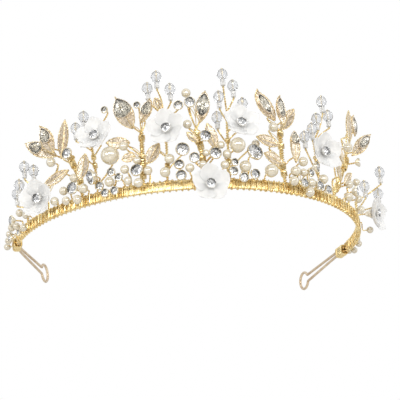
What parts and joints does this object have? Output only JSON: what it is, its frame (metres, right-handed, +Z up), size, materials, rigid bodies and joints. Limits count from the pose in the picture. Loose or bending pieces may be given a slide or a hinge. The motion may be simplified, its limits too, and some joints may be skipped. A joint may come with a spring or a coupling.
{
  "type": "bridal tiara",
  "caption": "Wire-wrapped bridal tiara: an open band with pin loops, carrying resin flowers, filigree leaves, pearls and clear stones on twisted wire stems.",
  "frame": {"origin": "centre of the band's circle, level with the lower edge of the band's strip", "axes": "+Z up, from the band to the tips of the sprays; -Y to the front; +X to the wearer's left, along the width"},
  "size_m": [0.1666, 0.1419, 0.0587],
  "materials": {
    "gold_strip": "polished gilt",
    "gold_wire": "bright gilt wire",
    "pale_gold_wire": "pale champagne gilt",
    "pale_gold_leaf": "pale gilt with a fine grain",
    "gold_setting": "bright gilt",
    "resin_white": "satin white resin",
    "resin_cream": "satin cream resin",
    "pearl": "lustrous cream imitation pearl",
    "rhinestone": "clear cut glass",
    "marquise_stone": "clear cut glass, slightly champagne",
    "crystal": "clear faceted glass"
  },
  "bodies": {
    "root": {"band_strip": "gold_strip", "band_wrap_wire": "gold_wire", "left_pin_loop": "pale_gold_wire", "right_pin_loop": "pale_gold_wire", "left_end_binding": "gold_wire", "right_end_binding": "gold_wire", "wires_left_end": "gold_wire", "wires_spray_1": "gold_wire", "wires_spray_2": "gold_wire", "wires_centre": "gold_wire", "wires_spray_4": "gold_wire", "wires_spray_5": "gold_wire", "wires_right_end": "gold_wire", "flower_1": "resin_white", "flower_2": "resin_white", "flower_3": "resin_white", "flower_4": "resin_white", "flower_5": "resin_white", "flower_6": "resin_white", "flower_7": "resin_white", "flower_backs": "resin_cream", "flower_cups": "gold_setting", "flower_stones": "rhinestone", "filigree_leaves": "pale_gold_leaf", "stone_leaf_settings": "gold_setting", "leaf_stones": "marquise_stone", "round_cups": "gold_setting", "round_stones": "rhinestone", "pearls_left": "pearl", "pearls_centre": "pearl", "pearls_right": "pearl", "large_pearls": "pearl", "pearl_caps": "gold_setting", "seed_beads": "crystal"},
    "crystal_a1": {"crystal_a1": "crystal"},
    "crystal_a2": {"crystal_a2": "crystal"},
    "crystal_a3": {"crystal_a3": "crystal"},
    "crystal_a4": {"crystal_a4": "crystal"},
    "crystal_b1": {"crystal_b1": "crystal"},
    "crystal_b2": {"crystal_b2": "crystal"},
    "crystal_c1": {"crystal_c1": "crystal"},
    "crystal_c2": {"crystal_c2": "crystal"},
    "crystal_c3": {"crystal_c3": "crystal"},
    "crystal_d1": {"crystal_d1": "crystal"},
    "crystal_d2": {"crystal_d2": "crystal"},
    "crystal_d3": {"crystal_d3": "crystal"},
    "crystal_d4": {"crystal_d4": "crystal"},
    "crystal_d5": {"crystal_d5": "crystal"},
    "crystal_e1": {"crystal_e1": "crystal"},
    "crystal_e2": {"crystal_e2": "crystal"},
    "crystal_e3": {"crystal_e3": "crystal"},
    "crystal_e4": {"crystal_e4": "crystal"},
    "crystal_e5": {"crystal_e5": "crystal"},
    "crystal_f1": {"crystal_f1": "crystal"},
    "crystal_f2": {"crystal_f2": "crystal"},
    "crystal_f3": {"crystal_f3": "crystal"}
  },
  "joints": [
    {"name": "crystal_a1_spin", "type": "hinge", "parent": "root", "child": "crystal_a1", "pos_m": [-0.07154, -0.03581, 0.025], "axis": [0, 0, 1], "continuous": true},
    {"name": "crystal_a2_spin", "type": "hinge", "parent": "root", "child": "crystal_a2", "pos_m": [-0.06817, -0.04187, 0.021], "axis": [0, 0, 1], "continuous": true},
    {"name": "crystal_a3_spin", "type": "hinge", "parent": "root", "child": "crystal_a3", "pos_m": [-0.07383, -0.03453, 0.0175], "axis": [0, 0, 1], "continuous": true},
    {"name": "crystal_a4_spin", "type": "hinge", "parent": "root", "child": "crystal_a4", "pos_m": [-0.07456, -0.02899, 0.0156], "axis": [0, 0, 1], "continuous": true},
    {"name": "crystal_b1_spin", "type": "hinge", "parent": "root", "child": "crystal_b1", "pos_m": [-0.04833, -0.06058, 0.037], "axis": [0, 0, 1], "continuous": true},
    {"name": "crystal_b2_spin", "type": "hinge", "parent": "root", "child": "crystal_b2", "pos_m": [-0.05149, -0.05792, 0.033], "axis": [0, 0, 1], "continuous": true},
    {"name": "crystal_c1_spin", "type": "hinge", "parent": "root", "child": "crystal_c1", "pos_m": [-0.01955, -0.07551, 0.048], "axis": [0, 0, 1], "continuous": true},
    {"name": "crystal_c2_spin", "type": "hinge", "parent": "root", "child": "crystal_c2", "pos_m": [-0.02335, -0.07442, 0.0434], "axis": [0, 0, 1], "continuous": true},
    {"name": "crystal_c3_spin", "type": "hinge", "parent": "root", "child": "crystal_c3", "pos_m": [-0.01448, -0.07665, 0.042], "axis": [0, 0, 1], "continuous": true},
    {"name": "crystal_d1_spin", "type": "hinge", "parent": "root", "child": "crystal_d1", "pos_m": [0.00717, -0.07767, 0.0478], "axis": [0, 0, 1], "continuous": true},
    {"name": "crystal_d2_spin", "type": "hinge", "parent": "root", "child": "crystal_d2", "pos_m": [0.01119, -0.07719, 0.043], "axis": [0, 0, 1], "continuous": true},
    {"name": "crystal_d3_spin", "type": "hinge", "parent": "root", "child": "crystal_d3", "pos_m": [0.00499, -0.07784, 0.038], "axis": [0, 0, 1], "continuous": true},
    {"name": "crystal_d4_spin", "type": "hinge", "parent": "root", "child": "crystal_d4", "pos_m": [0.01468, -0.07661, 0.0354], "axis": [0, 0, 1], "continuous": true},
    {"name": "crystal_d5_spin", "type": "hinge", "parent": "root", "child": "crystal_d5", "pos_m": [0.00353, -0.07792, 0.029], "axis": [0, 0, 1], "continuous": true},
    {"name": "crystal_e1_spin", "type": "hinge", "parent": "root", "child": "crystal_e1", "pos_m": [0.05174, -0.05837, 0.0433], "axis": [0, 0, 1], "continuous": true},
    {"name": "crystal_e2_spin", "type": "hinge", "parent": "root", "child": "crystal_e2", "pos_m": [0.05448, -0.05582, 0.0379], "axis": [0, 0, 1], "continuous": true},
    {"name": "crystal_e3_spin", "type": "hinge", "parent": "root", "child": "crystal_e3", "pos_m": [0.04815, -0.06136, 0.0344], "axis": [0, 0, 1], "continuous": true},
    {"name": "crystal_e4_spin", "type": "hinge", "parent": "root", "child": "crystal_e4", "pos_m": [0.04518, -0.06419, 0.0289], "axis": [0, 0, 1], "continuous": true},
    {"name": "crystal_e5_spin", "type": "hinge", "parent": "root", "child": "crystal_e5", "pos_m": [0.04134, -0.06614, 0.0246], "axis": [0, 0, 1], "continuous": true},
    {"name": "crystal_f1_spin", "type": "hinge", "parent": "root", "child": "crystal_f1", "pos_m": [0.08302, -0.02245, 0.0247], "axis": [0, 0, 1], "continuous": true},
    {"name": "crystal_f2_spin", "type": "hinge", "parent": "root", "child": "crystal_f2", "pos_m": [0.08263, -0.01768, 0.0165], "axis": [0, 0, 1], "continuous": true},
    {"name": "crystal_f3_spin", "type": "hinge", "parent": "root", "child": "crystal_f3", "pos_m": [0.07537, -0.02366, 0.018], "axis": [0, 0, 1], "continuous": true}
  ]
}
